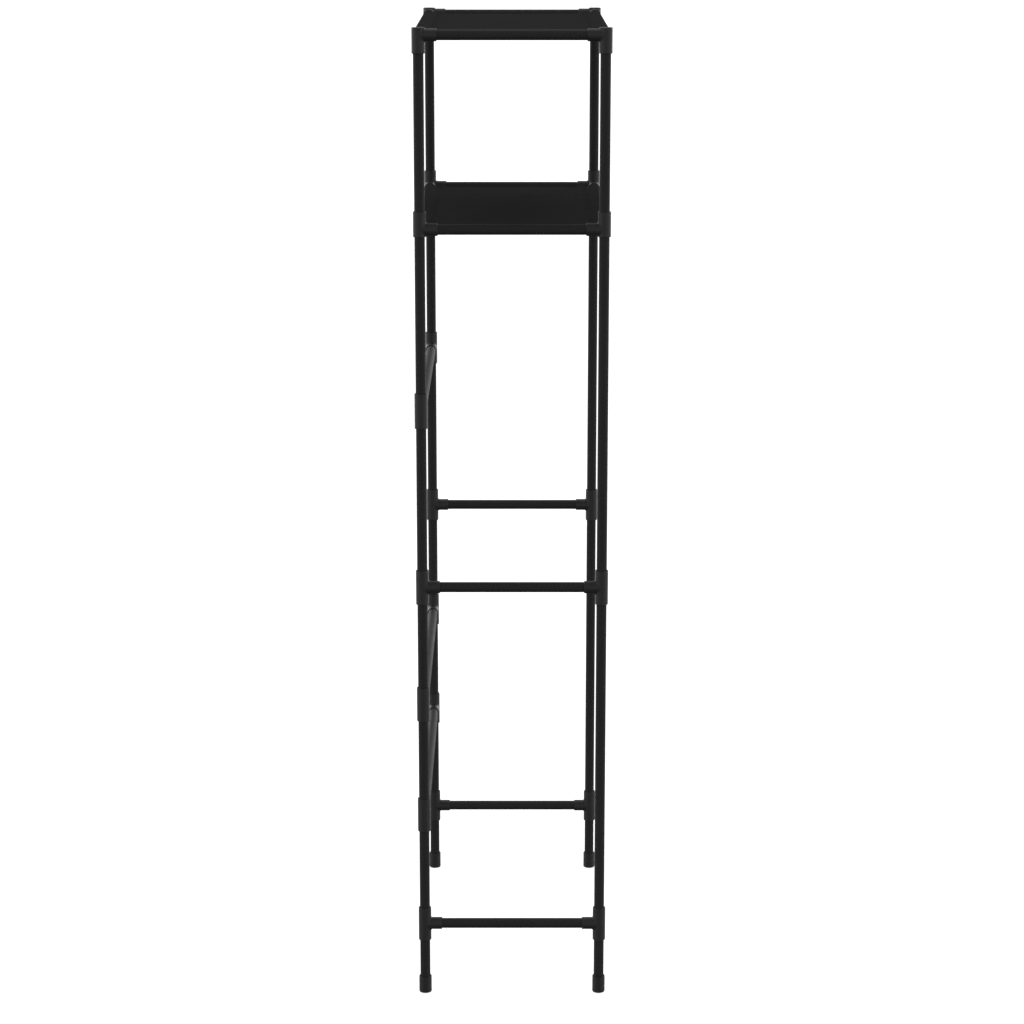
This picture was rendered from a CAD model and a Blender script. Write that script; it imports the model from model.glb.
"""The looks of an over the toilet storage rack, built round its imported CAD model.

Everything is in metres in the CAD model's frame: +X is to the right, +Y is towards the
wall, +Z is up, and the origin is on the floor midway between the four posts.
"""

import math

import bmesh
import bpy
import numpy as np
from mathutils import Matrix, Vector


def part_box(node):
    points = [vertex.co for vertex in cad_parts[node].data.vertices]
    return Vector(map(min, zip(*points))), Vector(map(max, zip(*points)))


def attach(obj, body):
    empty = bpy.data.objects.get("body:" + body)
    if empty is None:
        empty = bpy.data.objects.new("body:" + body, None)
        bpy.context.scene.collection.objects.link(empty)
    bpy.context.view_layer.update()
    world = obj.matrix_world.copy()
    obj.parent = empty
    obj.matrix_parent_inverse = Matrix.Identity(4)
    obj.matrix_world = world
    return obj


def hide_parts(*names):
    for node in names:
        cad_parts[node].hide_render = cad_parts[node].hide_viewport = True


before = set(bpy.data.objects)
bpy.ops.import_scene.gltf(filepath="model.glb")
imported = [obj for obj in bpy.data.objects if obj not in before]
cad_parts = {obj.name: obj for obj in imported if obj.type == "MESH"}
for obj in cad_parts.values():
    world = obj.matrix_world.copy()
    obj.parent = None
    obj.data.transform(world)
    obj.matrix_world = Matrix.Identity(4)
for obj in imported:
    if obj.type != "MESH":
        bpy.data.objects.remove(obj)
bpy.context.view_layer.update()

MM = 0.001
X, Y, Z = np.eye(3)


# ------------------------------------------------------------ sizes from the frame

def middle(node):
    """The middle of a CAD node's box."""
    low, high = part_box(node)
    return (low + high) / 2


def size(node):
    """The three sides of a CAD node's box."""
    low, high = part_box(node)
    return high - low


CORNERS = ("front_left", "front_right", "rear_left", "rear_right")
SHELVES = ("lower", "upper")
BACK_BARS = ("low", "middle", "high")

POST_X = middle("lower_post_tube_front_right").x
POST_Y = middle("lower_post_tube_rear_right").y
TUBE_R = size("lower_rung_left").x / 2
SLEEVE_R = size("foot_front_left").x / 2
REACH = size("back_tee_low_left").z / 2
BAR_END = POST_Y - size("lower_rung_left").y / 2
CLOTH_X = size("lower_shelf_cloth").x / 2

# Sizes inside the CAD pieces, which no box gives
BORE_R = TUBE_R + 0.05 * MM
ARM_R = BORE_R + 1.6 * MM
SOCKET_FLOOR = BAR_END - 0.2 * MM
STOP_T = 1.5 * MM
STOP_HOLE_R = BORE_R - 1.5 * MM
STOP_RISE = 6 * MM
FOOT_FLOOR = 3 * MM
CLOTH_RISE = 3.5 * MM


# ------------------------------------------------------------ meshes in general

class Rings:
    """A surface made of rings that all have the same number of points."""

    def __init__(self, count):
        self.count = count
        self.points = []
        self.faces = []

    def add(self, points):
        """Adds a ring and gives the number of its first point."""
        start = len(self.points)
        self.points.extend(np.asarray(points, float))
        return start

    def join(self, a, b):
        """Quads between two rings."""
        for i in range(self.count):
            j = (i + 1) % self.count
            self.faces.append((a + i, a + j, b + j, b + i))

    def run(self, rings):
        """Adds rings joined one after the other and gives their first points' numbers."""
        starts = [self.add(ring) for ring in rings]
        for a, b in zip(starts, starts[1:]):
            self.join(a, b)
        return starts

    def close(self, a, centre):
        """Fills a ring with triangles that meet in its centre."""
        top = len(self.points)
        self.points.append(np.asarray(centre, float))
        for i in range(self.count):
            self.faces.append((a + i, a + (i + 1) % self.count, top))


def mesh_object(name, points, faces, weld=0.0, sharp_degrees=35):
    """An object from points and faces, smooth but for its sharp edges."""
    mesh = bpy.data.meshes.new(name)
    mesh.from_pydata([tuple(p) for p in points], [], faces)
    shape = bmesh.new()
    shape.from_mesh(mesh)
    if weld:
        bmesh.ops.remove_doubles(shape, verts=shape.verts, dist=weld)
    bmesh.ops.recalc_face_normals(shape, faces=shape.faces)
    shape.to_mesh(mesh)
    shape.free()
    mesh.shade_smooth()
    mesh.set_sharp_from_angle(angle=math.radians(sharp_degrees))
    piece = bpy.data.objects.new(name, mesh)
    bpy.context.scene.collection.objects.link(piece)
    return piece


def finish_piece(piece, slot, material, *nodes):
    """Puts a piece on the rack's body, in place of the CAD nodes named."""
    if nodes:
        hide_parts(*nodes)
    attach(piece, "root")
    piece.data.materials.append(material)
    return piece


def circle_directions(first, second, count):
    """Unit vectors round a circle, from the direction first towards second."""
    angle = np.arange(count) * 2 * math.pi / count
    return np.outer(np.cos(angle), first) + np.outer(np.sin(angle), second)


def profile_rings(profile, axis, around):
    """Rings round an axis through the origin, from (distance along, radius) pairs."""
    return [along * axis + radius * around for along, radius in profile]


# ------------------------------------------------------------ materials

def add_node(tree, kind, inputs=None, **settings):
    """A shader node with its settings, and its inputs linked or set by name."""
    node = tree.nodes.new(kind)
    for key, value in settings.items():
        setattr(node, key, value)
    for key, value in (inputs or {}).items():
        if isinstance(value, bpy.types.NodeSocket):
            tree.links.new(value, node.inputs[key])
        else:
            node.inputs[key].default_value = value
    return node


def noise(tree, coordinates, waves, detail):
    """The value of a noise texture with the given waves per metre and finer octaves."""
    inputs = {"Vector": coordinates, "Scale": waves, "Detail": detail}
    return add_node(tree, "ShaderNodeTexNoise", inputs).outputs["Fac"]


def spread(tree, value, low, high):
    """A noise value stretched to run from low to high."""
    inputs = {"Value": value, "From Min": 0.3, "From Max": 0.7, "To Min": low, "To Max": high}
    return add_node(tree, "ShaderNodeMapRange", inputs).outputs["Result"]


def blend_colours(tree, share, dark, light):
    """A colour between two greys, each with its own red, green and blue."""
    inputs = {"Factor": share}
    node = add_node(tree, "ShaderNodeMix", inputs, data_type="RGBA")
    node.inputs["A"].default_value = (*dark, 1)
    node.inputs["B"].default_value = (*light, 1)
    return next(o for o in node.outputs if o.type == "RGBA")


def maths(tree, operation, a, b=0.0):
    """A Math node's result."""
    node = add_node(tree, "ShaderNodeMath", operation=operation)
    for socket, value in zip(node.inputs, (a, b)):
        if isinstance(value, bpy.types.NodeSocket):
            tree.links.new(value, socket)
        else:
            socket.default_value = value
    return node.outputs[0]


def bump(tree, height, strength, distance):
    """A normal tilted by a height."""
    inputs = {"Height": height, "Strength": strength, "Distance": distance}
    return add_node(tree, "ShaderNodeBump", inputs).outputs["Normal"]


def surface(name):
    """A new material, with its node tree and its one shader."""
    material = bpy.data.materials.new(name)
    material.use_nodes = True
    tree = material.node_tree
    return material, tree, tree.nodes["Principled BSDF"]


def textured_black(name, dark, light, rough, grain_waves, grain_depth, gloss):
    """A black surface with a fine grain, uneven gloss and a little colour variation.

    dark and light are the ends of its colour, rough the ends of its roughness, and
    grain_waves the grain's waves per metre.
    """
    material, tree, shader = surface(name)
    place = add_node(tree, "ShaderNodeTexCoord").outputs["Object"]
    broad = noise(tree, place, 16, detail=3)
    grain = noise(tree, place, grain_waves, detail=2)
    speckle = noise(tree, place, grain_waves / 4, detail=1)
    mixed = maths(tree, "MULTIPLY", maths(tree, "ADD", broad, speckle), 0.5)
    colour = blend_colours(tree, spread(tree, mixed, 0, 1), dark, light)
    tree.links.new(colour, shader.inputs["Base Color"])
    tree.links.new(spread(tree, mixed, *rough), shader.inputs["Roughness"])
    tree.links.new(bump(tree, grain, 0.6, grain_depth), shader.inputs["Normal"])
    shader.inputs["Specular IOR Level"].default_value = gloss
    return material


def woven_black(name, dark, light, pitch):
    """Plain-woven matte cloth: over and under threads along the cloth's own two ways.

    dark and light are the ends of its colour, and pitch the space between two threads.
    """
    material, tree, shader = surface(name)
    flat = add_node(tree, "ShaderNodeAttribute", attribute_name="flat_place").outputs["Vector"]
    parts = add_node(tree, "ShaderNodeSeparateXYZ", {"Vector": flat}).outputs
    across = maths(tree, "SINE", maths(tree, "MULTIPLY", parts["X"], math.pi / pitch))
    along = maths(tree, "SINE", maths(tree, "MULTIPLY", parts["Y"], math.pi / pitch))
    warp_over = maths(tree, "GREATER_THAN", maths(tree, "MULTIPLY", across, along), 0)
    warp = maths(tree, "MULTIPLY", maths(tree, "ABSOLUTE", across), warp_over)
    weft_over = maths(tree, "SUBTRACT", 1, warp_over)
    weft = maths(tree, "MULTIPLY", maths(tree, "ABSOLUTE", along), weft_over)
    threads = maths(tree, "ADD", warp, weft)
    slub = noise(tree, flat, 160, detail=3)
    mottle = noise(tree, flat, 22, detail=3)
    patterns = maths(tree, "ADD", maths(tree, "ADD", threads, slub), mottle)
    share = maths(tree, "MULTIPLY", patterns, 0.35)
    tree.links.new(blend_colours(tree, share, dark, light), shader.inputs["Base Color"])
    tree.links.new(spread(tree, slub, 0.74, 0.9), shader.inputs["Roughness"])
    height = maths(tree, "ADD", threads, maths(tree, "MULTIPLY", slub, 0.6))
    tree.links.new(bump(tree, height, 0.5, 0.15 * MM), shader.inputs["Normal"])
    shader.inputs["Specular IOR Level"].default_value = 0
    return material


POWDER_COAT = textured_black(
    "powder_coat",
    dark=(0.027, 0.027, 0.0275),
    light=(0.0355, 0.0355, 0.036),
    rough=(0.62, 0.7),
    grain_waves=900,
    grain_depth=0.02 * MM,
    gloss=0.3,
)
PLASTIC = textured_black(
    "moulded_plastic",
    dark=(0.028, 0.028, 0.0285),
    light=(0.036, 0.036, 0.0365),
    rough=(0.45, 0.53),
    grain_waves=2200,
    grain_depth=0.012 * MM,
    gloss=0.5,
)
FOOT_PLASTIC = textured_black(
    "foot_plastic",
    dark=(0.025, 0.025, 0.0255),
    light=(0.032, 0.032, 0.0325),
    rough=(0.42, 0.52),
    grain_waves=1800,
    grain_depth=0.02 * MM,
    gloss=0.5,
)
THREAD = textured_black(
    "sewing_thread",
    dark=(0.022, 0.022, 0.0225),
    light=(0.034, 0.034, 0.0345),
    rough=(0.6, 0.7),
    grain_waves=5000,
    grain_depth=0.03 * MM,
    gloss=0,
)
CLOTH = woven_black(
    "shelf_cloth",
    dark=(0.029, 0.029, 0.0295),
    light=(0.052, 0.052, 0.053),
    pitch=0.9 * MM,
)


# ------------------------------------------------------------ moulded connectors

# Points in a ring, rings along a fillet, how they crowd at its foot, and steps to find one
RING = 48
BLEND_STEPS = 9
CROWDING = 1.3
HALVINGS = 45

# Fillets and rounded rims; the short ones are where a sleeve ends close to its arms
FILLET = 2.4 * MM
SHORT_FILLET = 0.5 * MM
RIM = 1.0 * MM
SHORT_RIM = 0.7 * MM
RIM_GUARD = 0.25 * MM
LEAD_IN = 0.5 * MM


def soft_union(a, b, radius):
    """Union of two distance fields, with a fillet of the given radius between them."""
    inside_a = np.maximum(radius - a, 0)
    inside_b = np.maximum(radius - b, 0)
    return np.maximum(radius, np.minimum(a, b)) - np.hypot(inside_a, inside_b)


def arm_field(points, axis):
    """Distance from an arm that starts at the origin, and the way that leads off it."""
    along = np.maximum(points @ axis, 0)
    away = points - along[:, None] * axis
    length = np.linalg.norm(away, axis=1)
    return length - ARM_R, away / length[:, None]


def crossing(a, b):
    """1 where two unit directions cross squarely, 0 where they are the same."""
    return np.sqrt(np.clip(1 - (a * b).sum(1) ** 2, 0, 1))


def connector_field(points, arms, short_side):
    """Distance from the outside of a connector whose sleeve runs along Z."""
    away = points * (1, 1, 0)
    radial = np.linalg.norm(away, axis=1)
    field, direction = arm_field(points, arms[0])
    if len(arms) == 2:
        other, other_direction = arm_field(points, arms[1])
        nearer = np.where((other < field)[:, None], other_direction, direction)
        field = soft_union(field, other, FILLET * crossing(direction, other_direction))
        direction = nearer
    on_short_side = np.clip(0.5 + points[:, 2] * short_side / (4 * MM), 0, 1) * abs(short_side)
    fillet = FILLET + (SHORT_FILLET - FILLET) * on_short_side
    return soft_union(field, radial - SLEEVE_R, fillet * crossing(direction, away / radial[:, None]))


def surface_points(base, direction, arms, short_side):
    """Where lines from the base points leave the connector, found by halving."""
    near = np.full(len(base), 0.4 * SLEEVE_R)
    far = np.full(len(base), 2.4 * SLEEVE_R)
    for _ in range(HALVINGS):
        half = (near + far) / 2
        inside = connector_field(base + half[:, None] * direction, arms, short_side) < 0
        near = np.where(inside, half, near)
        far = np.where(inside, far, half)
    return base + near[:, None] * direction


def blend_rings(axis, around, neighbours, straight_from, arms, short_side):
    """Rings from where a limb meets its neighbours out to where it runs straight.

    They lie closest together near the neighbours, where the surface bends the most.
    """
    leans = [around @ n for n in neighbours] + [np.zeros(len(around))]
    lean = np.max(leans, axis=0)
    border = surface_points(np.zeros_like(around), around + lean[:, None] * axis, arms, short_side)
    start = border @ axis
    rings = [border]
    for step in range(1, BLEND_STEPS + 1):
        along = start + (straight_from - start) * (step / BLEND_STEPS) ** CROWDING
        rings.append(surface_points(along[:, None] * axis, around, arms, short_side))
    return rings


def outer_rim(length, radius, rim=RIM):
    """Profile of a rounded outer edge, from the side to the end face.

    A ring close to the rounding on each side keeps the side and the end face flat.
    """
    turns = np.radians(np.linspace(0, 90, 6))
    edge = [(length - rim + rim * math.sin(t), radius - rim + rim * math.cos(t)) for t in turns]
    return [(length - rim - RIM_GUARD, radius), *edge, (length, radius - rim - RIM_GUARD)]


def inner_rim(length):
    """Profile of the lead-in that guides a tube into its bore."""
    return [
        (length, BORE_R + LEAD_IN),
        (length - 0.35 * LEAD_IN, BORE_R + 0.25 * LEAD_IN),
        (length - LEAD_IN, BORE_R),
    ]


def turned_over(profile):
    """A profile mirrored end for end, read the other way."""
    return [(-along, radius) for along, radius in reversed(profile)]


def bore_walls(top, bottom, stop):
    """Profile of a sleeve's inner wall, from the top down, with the tube stop if any."""
    ledge = []
    if stop is not None:
        upper, lower = stop + STOP_T, stop
        ledge = [(upper, BORE_R), (upper, STOP_HOLE_R), (lower, STOP_HOLE_R), (lower, BORE_R)]
    return inner_rim(top) + ledge + turned_over(inner_rim(-bottom))


def connector(node, bar, arm_names, stop=None, shut=False):
    """A moulded connector in place of a CAD node.

    bar is a bar that it holds, arm_names is "x", "y" or "xy" for the ways its arms
    point into the rack, stop is the height of the tube stop above the arms' axis, and
    shut says that the sleeve's top is closed.
    """
    low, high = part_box(node)
    level = middle(bar).z
    top, bottom = high.z - level, low.z - level
    short_side = (top < REACH / 2) - (-bottom < REACH / 2)
    top_rim = SHORT_RIM if short_side > 0 else RIM
    bottom_rim = SHORT_RIM if short_side < 0 else RIM
    arms = [{"x": X, "y": Y}[name] for name in arm_names]
    straight = REACH / 2
    shape = Rings(RING)

    around = circle_directions(X, Y, RING)
    above = min(straight, top - top_rim - 2 * RIM_GUARD)
    below = min(straight, -bottom - bottom_rim - 2 * RIM_GUARD)
    up = blend_rings(Z, around, arms, above, arms, short_side)
    down = blend_rings(-Z, around, arms, below, arms, short_side)
    top_edge = outer_rim(top, SLEEVE_R, top_rim)
    bottom_edge = turned_over(outer_rim(-bottom, SLEEVE_R, bottom_rim))
    if shut:
        ceiling = stop + STOP_T
        cap = shape.run(up + profile_rings(top_edge + [(top, SLEEVE_R / 2)], Z, around))
        shape.close(cap[-1], top * Z)
        wall = [(ceiling, BORE_R / 2), (ceiling, BORE_R)] + turned_over(inner_rim(-bottom))
        tube = shape.run(profile_rings(wall + bottom_edge, Z, around) + down[::-1])
        shape.close(tube[0], ceiling * Z)
    else:
        wall = top_edge + bore_walls(top, bottom, stop) + bottom_edge
        shape.run(up + profile_rings(wall, Z, around) + down[::-1])

    for axis in arms:
        around = circle_directions(Y, Z, RING) if axis is X else circle_directions(Z, X, RING)
        others = [other for other in arms if other is not axis] + [Z, -Z]
        rings = blend_rings(axis, around, others, straight, arms, short_side)
        profile = outer_rim(REACH, ARM_R) + inner_rim(REACH)
        profile += [(SOCKET_FLOOR, BORE_R), (SOCKET_FLOOR, BORE_R / 2)]
        ends = shape.run(rings + profile_rings(profile, axis, around))
        shape.close(ends[-1], SOCKET_FLOOR * axis)

    centre = middle(node)
    sign_x, sign_y = math.copysign(1, centre.x), math.copysign(1, centre.y)
    place = (sign_x * POST_X, sign_y * POST_Y, level)
    points = np.array(shape.points) * (-sign_x, -sign_y, 1) + place
    name = node.replace("connector", "fitting").replace("tee", "tee_fitting")
    piece = mesh_object(name, points, shape.faces, weld=0.002 * MM)
    return finish_piece(piece, "connector", PLASTIC, node)


def foot_cap(node):
    """A foot cap, rounded underneath, with a shallow hollow so that it stands on its rim."""
    low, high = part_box(node)
    height = high.z - low.z
    sole_rim = 1.6 * MM
    hollow_r, hollow_depth = 6.5 * MM, 0.5 * MM
    around = circle_directions(X, Y, RING)
    profile = [(hollow_depth, hollow_r / 2), (hollow_depth, hollow_r - hollow_depth), (0, hollow_r)]
    profile += turned_over(outer_rim(0, SLEEVE_R, sole_rim))
    profile += outer_rim(height, SLEEVE_R) + inner_rim(height)
    profile += [(FOOT_FLOOR, BORE_R), (FOOT_FLOOR, BORE_R / 2)]
    shape = Rings(RING)
    ends = shape.run(profile_rings(profile, Z, around))
    shape.close(ends[0], hollow_depth * Z)
    shape.close(ends[-1], FOOT_FLOOR * Z)
    centre = middle(node)
    points = np.array(shape.points) + (centre.x, centre.y, low.z)
    piece = mesh_object(f"{node}_cap", points, shape.faces)
    return finish_piece(piece, "foot", FOOT_PLASTIC, node)


# ------------------------------------------------------------ sewn cloth shelves

# One ply and the gap between two, the seam's place in from its rail, the ply's tail past
# the seam, the hem's depth, and the spacing of the panel's points each way
CLOTH_T = 0.7 * MM
PLY_GAP = 0.04 * MM
SEAM_IN = 13 * MM
TAIL = 10 * MM
HEM = 10 * MM
COLUMN = 3 * MM
ROW = 5 * MM

# How far the cloth leaves its flat place, and the radians per metre of its waves
SAG = 0.7 * MM
PUCKER = 0.22 * MM
PUCKER_REACH = 11 * MM
PUCKER_WAVE = 420
DRIFT = 2.2
DRIFT_WAVE = 61
BROAD = 0.35 * MM
BROAD_WAVE_X = 23
BROAD_WAVE_Y = 31

# The stitches, and how far in from a seam, and out from a hem's inner edge, their rows lie
STITCH_LENGTH = 2.9 * MM
STITCH_PITCH = 3.5 * MM
THREAD_R = 0.2 * MM
SEAM_ROWS = (3.5 * MM, 8 * MM)
HEM_ROW = 2 * MM


def rounded_corner(before, corner, after, reach, steps=6):
    """Points of a smooth bend in place of the corner of a path."""
    start = corner + (before - corner) / np.linalg.norm(before - corner) * reach
    end = corner + (after - corner) / np.linalg.norm(after - corner) * reach
    t = np.linspace(0, 1, steps + 1)[:, None]
    return list((1 - t) ** 2 * start + 2 * t * (1 - t) * corner + t**2 * end)


def half_cloth_path():
    """The middle of the cloth's thickness from the shelf's middle to its rear tail.

    The points are (y, z) from the middle of the shelf at the rails' height: along the
    panel, up over the rail, round it, and back under the panel to the tail's end.
    """
    wrap_r = TUBE_R + 0.1 * MM + CLOTH_T / 2
    panel_z = CLOTH_RISE - CLOTH_T / 2
    seam = np.array((POST_Y - SEAM_IN, panel_z))
    under_seam = seam - (0, CLOTH_T + PLY_GAP)
    tail_end = under_seam - (TAIL, 0)

    def touch(point, side):
        """The angle at which a straight run from the point meets the rail."""
        y, z = point - (POST_Y, 0)
        return math.atan2(z, y) % (2 * math.pi) - side * math.acos(wrap_r / math.hypot(y, z))

    over, under = touch(seam, 1), touch(under_seam, -1) - 2 * math.pi
    angles = np.linspace(over, under, 30)
    wrap = [np.array((POST_Y + wrap_r * math.cos(a), wrap_r * math.sin(a))) for a in angles]
    rows = int((seam[0] - 6 * MM) / ROW)
    panel = [np.array((y, panel_z)) for y in np.linspace(0, seam[0] - ROW, rows)]
    path = panel + rounded_corner(panel[-1], seam, wrap[0], 4 * MM) + wrap
    path += rounded_corner(wrap[-1], under_seam, tail_end, 3 * MM)
    return np.array(path + [(under_seam + tail_end) / 2, tail_end])


def unevenness(x, y, phase):
    """How far the cloth lies above its flat place: sag in the middle, puckers at the seams."""
    panel_y = POST_Y - SEAM_IN
    inward = np.clip(1 - (y / panel_y) ** 2, 0, 1)
    sag = -SAG * inward * (1 + 0.5 * (x / CLOTH_X) ** 4)
    from_seam = np.abs(np.abs(y) - panel_y)
    drift = DRIFT * np.sin(x * DRIFT_WAVE + phase) + phase * np.sign(y)
    off_the_rail = np.abs(y) < POST_Y - TUBE_R - MM
    pucker = PUCKER * np.sin(x * PUCKER_WAVE + drift) * np.exp(-from_seam / PUCKER_REACH) * off_the_rail
    broad = BROAD * np.sin(x * BROAD_WAVE_X + phase) * np.sin(y * BROAD_WAVE_Y + 1.3 * phase) * inward
    return sag + pucker + broad


def cloth_grid(path, columns, level, phase):
    """Points of a path at each column along X, moved by the cloth's unevenness."""
    x = np.repeat(columns[:, None], len(path), axis=1)
    y = np.repeat(path[None, :, 0], len(columns), axis=0)
    z = path[None, :, 1] + unevenness(x, y, phase) + level
    return np.stack([x, y, z], axis=2)


def path_normals(path):
    """Unit normals of a path, to its left."""
    way = np.gradient(path, axis=0)
    way /= np.linalg.norm(way, axis=1)[:, None]
    return np.stack([-way[:, 1], way[:, 0]], axis=1)


def slab_object(name, path, columns, level, phase, thickness):
    """A closed sheet of the given thickness along a path, with its flat place kept."""
    side = path_normals(path) * thickness / 2
    upper = cloth_grid(path, columns, level, phase)
    lower = upper.copy()
    upper[:, :, 1:] += side[None]
    lower[:, :, 1:] -= side[None]
    rows, count = len(columns), len(path)
    points = np.concatenate([upper.reshape(-1, 3), lower.reshape(-1, 3)])

    def at(layer, i, j):
        return layer * rows * count + i * count + j

    faces = []
    for i in range(rows - 1):
        for j in range(count - 1):
            faces.append((at(0, i, j), at(0, i + 1, j), at(0, i + 1, j + 1), at(0, i, j + 1)))
            faces.append((at(1, i, j), at(1, i, j + 1), at(1, i + 1, j + 1), at(1, i + 1, j)))
        for j in (0, count - 1):
            faces.append((at(0, i, j), at(1, i, j), at(1, i + 1, j), at(0, i + 1, j)))
    for j in range(count - 1):
        for i in (0, rows - 1):
            faces.append((at(0, i, j), at(0, i, j + 1), at(1, i, j + 1), at(1, i, j)))
    piece = mesh_object(name, points, faces)
    run = np.concatenate([[0], np.cumsum(np.linalg.norm(np.diff(path, axis=0), axis=1))])
    flat = np.stack(np.broadcast_arrays(columns[:, None], run[None, :], 0.0), axis=2).reshape(-1, 3)
    places = piece.data.attributes.new("flat_place", "FLOAT_VECTOR", "POINT")
    places.data.foreach_set("vector", np.tile(flat, (2, 1)).astype(np.float32).ravel())
    return piece


def stitch_shape(length, radius):
    """Points and faces of one stitch along X: a short thread that dips at both ends."""
    shape = Rings(6)
    around = circle_directions(Y, Z, 6)
    profile = [(-0.42, 0.55), (-0.3, 0.95), (0.3, 0.95), (0.42, 0.55)]
    dip = (-0.6, 0, 0, -0.6)
    rings = []
    for (along, width), drop in zip(profile, dip):
        rings.append(along * length * X + width * radius * around + drop * radius * Z)
    ends = shape.run(rings)
    shape.close(ends[0], -0.5 * length * X - radius * Z)
    shape.close(ends[-1], 0.5 * length * X - radius * Z)
    return np.array(shape.points), shape.faces


def stitching(name, rows):
    """One piece with all the stitches of a shelf.

    Each row gives its stitches' middles, the way it runs and the way out of the cloth.
    """
    stitch, stitch_faces = stitch_shape(STITCH_LENGTH, THREAD_R)
    points, faces = [], []
    for middles, way, out in rows:
        turn = np.stack([way, np.cross(out, way), out])
        for place in middles:
            start = len(points)
            points.extend(stitch @ turn + place)
            faces.extend(tuple(start + i for i in face) for face in stitch_faces)
    return mesh_object(name, points, faces, sharp_degrees=60)


def shelf_cloth(shelf, phase):
    """One shelf's cloth: the sewn panel with its two tunnels, its end hems and its stitches."""
    node = f"{shelf}_shelf_cloth"
    level = middle(f"{shelf}_shelf_rail_front").z
    half = half_cloth_path()
    path = np.concatenate([half[:0:-1] * (-1, 1), half])
    columns = np.linspace(-CLOTH_X, CLOTH_X, int(2 * CLOTH_X / COLUMN))
    panel = slab_object(f"{shelf}_shelf_sewn_cloth", path, columns, level, phase, CLOTH_T)
    finish_piece(panel, "cloth", CLOTH, node)

    panel_z = CLOTH_RISE - CLOTH_T / 2
    free_y = POST_Y - SEAM_IN - TAIL - 0.5 * MM
    hem_z = panel_z - CLOTH_T - PLY_GAP
    hem_path = np.array([(y, hem_z) for y in np.linspace(-free_y, free_y, 50)])
    for end in (-1, 1):
        edge = np.linspace(CLOTH_X - HEM, CLOTH_X - 0.1 * MM, 5) * end
        name = f"{shelf}_shelf_hem_{'left' if end < 0 else 'right'}"
        hem = slab_object(name, hem_path, np.sort(edge), level, phase, CLOTH_T)
        finish_piece(hem, "cloth", CLOTH)

    along_x = np.arange(-CLOTH_X + 2.5 * MM, CLOTH_X - 2 * MM, STITCH_PITCH)
    along_y = np.arange(-free_y - 6 * MM, free_y + 6 * MM, STITCH_PITCH)
    rows = []
    top, under = panel_z + CLOTH_T / 2, panel_z - 1.5 * CLOTH_T
    for edge in (-1, 1):
        for inward in SEAM_ROWS:
            y = np.full_like(along_x, edge * (POST_Y - SEAM_IN - inward))
            lift = unevenness(along_x, y, phase) + level
            rows.append((np.stack([along_x, y, lift + top], axis=1), X, Z))
            rows.append((np.stack([along_x, y, lift + under], axis=1), X, -Z))
    for end in (-1, 1):
        x = np.full_like(along_y, end * (CLOTH_X - HEM + HEM_ROW))
        lift = unevenness(x, along_y, phase) + level
        rows.append((np.stack([x, along_y, lift + top], axis=1), Y, Z))
        rows.append((np.stack([x, along_y, lift + under], axis=1), Y, -Z))
    thread = stitching(f"{shelf}_shelf_stitching", rows)
    finish_piece(thread, "cloth", THREAD)


# ------------------------------------------------------------ the rack

for corner in CORNERS:
    foot_cap(f"foot_{corner}")
    connector(f"lower_rung_tee_{corner}", "lower_rung_left", "y", stop=-STOP_T / 2)
    connector(f"upper_rung_tee_{corner}", "upper_rung_left", "y", stop=-STOP_T / 2)
    connector(f"lower_shelf_connector_{corner}", "lower_shelf_rail_front", "xy", stop=STOP_RISE)
    connector(f"top_corner_connector_{corner}", "upper_shelf_rail_front", "xy", stop=STOP_RISE, shut=True)
for bar in BACK_BARS:
    for side in ("left", "right"):
        connector(f"back_tee_{bar}_{side}", f"back_bar_{bar}", "x")
for phase, shelf in enumerate(SHELVES):
    shelf_cloth(shelf, 1.7 + 2.3 * phase)
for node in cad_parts.values():
    if not node.hide_render:
        node.data.materials.clear()
        node.data.materials.append(POWDER_COAT)


# ------------------------------------------------------------ floor, light and camera

FLOOR_SIDE = 120.0

# How bright the room behind the rack looks to the camera
BACKDROP = 1.05

# How bright the room is, by the sine of the height above the horizon
ROOM_LEVELS = ((-0.9, 0.05), (-0.45, 0.12), (-0.05, 0.46), (0.2, 0.43), (0.7, 0.24))

# Where each softbox is, how far it spreads in degrees and how bright it is
SOFTBOXES = (
    ((0.45, 0, 0.9), 38, 0.85),
    ((0.78, -0.6, 0.1), 32, 2.3),
    ((0.78, 0.6, 0.1), 32, 2.3),
    ((-0.2, -1, 0), 40, 0.5),
    ((-0.2, 1, 0), 40, 0.5),
)


def studio_floor():
    """A plain pale floor that only the camera sees."""
    shape = bmesh.new()
    bmesh.ops.create_grid(shape, x_segments=1, y_segments=1, size=FLOOR_SIDE / 2)
    mesh = bpy.data.meshes.new("floor")
    shape.to_mesh(mesh)
    shape.free()
    floor = bpy.data.objects.new("floor", mesh)
    bpy.context.scene.collection.objects.link(floor)
    material, tree, shader = surface("pale_floor")
    place = add_node(tree, "ShaderNodeTexCoord").outputs["Object"]
    tone = blend_colours(tree, noise(tree, place, 3, detail=2), (0.8, 0.8, 0.8), (0.82, 0.82, 0.82))
    tree.links.new(tone, shader.inputs["Base Color"])
    shader.inputs["Roughness"].default_value = 0.9
    shader.inputs["Emission Color"].default_value = (1, 1, 1, 1)
    shader.inputs["Emission Strength"].default_value = 0.8
    mesh.materials.append(material)
    floor.visible_glossy = False
    floor.visible_diffuse = False


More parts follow.
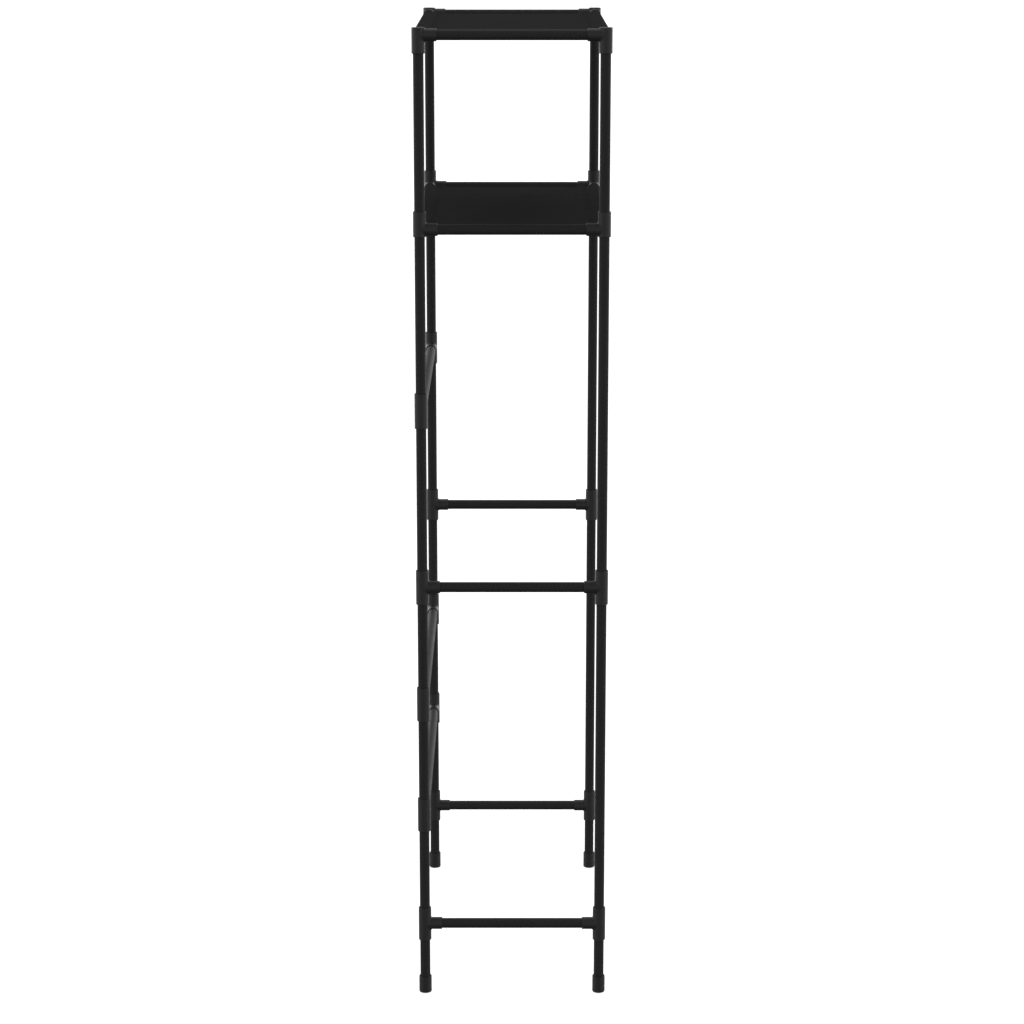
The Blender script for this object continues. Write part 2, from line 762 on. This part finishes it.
def studio_light():
    """A soft white studio: even all round, dim below, with softboxes, and white to see."""
    world = bpy.data.worlds.new("studio")
    world.use_nodes = True
    bpy.context.scene.world = world
    tree = world.node_tree
    tree.nodes.clear()
    way = add_node(tree, "ShaderNodeTexCoord").outputs["Generated"]
    height = add_node(tree, "ShaderNodeSeparateXYZ", {"Vector": way}).outputs["Z"]
    room = add_node(tree, "ShaderNodeMapRange", {"Value": height, "From Min": -1, "From Max": 1})
    ramp = add_node(tree, "ShaderNodeValToRGB", {"Fac": room.outputs["Result"]})
    stops = ramp.color_ramp.elements
    while len(stops) < len(ROOM_LEVELS):
        stops.new(0.5)
    for stop, (sine, grey) in zip(stops, ROOM_LEVELS):
        stop.position = (sine + 1) / 2
        stop.color = (grey, grey, grey, 1)
    level = ramp.outputs["Color"]
    for direction, angle, strength in SOFTBOXES:
        towards = Vector(direction).normalized()
        facing = add_node(tree, "ShaderNodeVectorMath", {0: way, 1: towards}, operation="DOT_PRODUCT")
        inputs = {"Value": facing.outputs["Value"], "From Min": math.cos(math.radians(angle))}
        box = add_node(tree, "ShaderNodeMapRange", inputs, interpolation_type="SMOOTHSTEP")
        level = maths(tree, "ADD", level, maths(tree, "MULTIPLY", box.outputs["Result"], strength))
    seen = add_node(tree, "ShaderNodeLightPath").outputs["Is Camera Ray"]
    inputs = {"Factor": seen, "A": level, "B": BACKDROP}
    shown = add_node(tree, "ShaderNodeMix", inputs, data_type="FLOAT").outputs["Result"]
    back = add_node(tree, "ShaderNodeBackground", {"Color": (1, 1, 1, 1), "Strength": shown})
    out = add_node(tree, "ShaderNodeOutputWorld")
    tree.links.new(back.outputs["Background"], out.inputs["Surface"])


def photo_camera():
    """A long lens level with the middle of the left side, above the top, looking down."""
    stand_off, height = 4.083, 1.779
    picture, lens_in_pictures = 36.0, 2.642
    camera = bpy.data.cameras.new("photo_camera")
    camera.sensor_width = picture
    camera.lens = picture * lens_in_pictures
    camera.clip_end = 200
    eye = bpy.data.objects.new("photo_camera", camera)
    bpy.context.scene.collection.objects.link(eye)
    eye.location = (-POST_X - stand_off, 0, height)
    down = math.radians(13.507)
    way = Vector((math.cos(down), 0, -math.sin(down)))
    eye.rotation_mode = "QUATERNION"
    eye.rotation_quaternion = way.to_track_quat("-Z", "Y")
    bpy.context.scene.camera = eye


studio_floor()
studio_light()
photo_camera()
bpy.context.scene.view_settings.view_transform = "Standard"
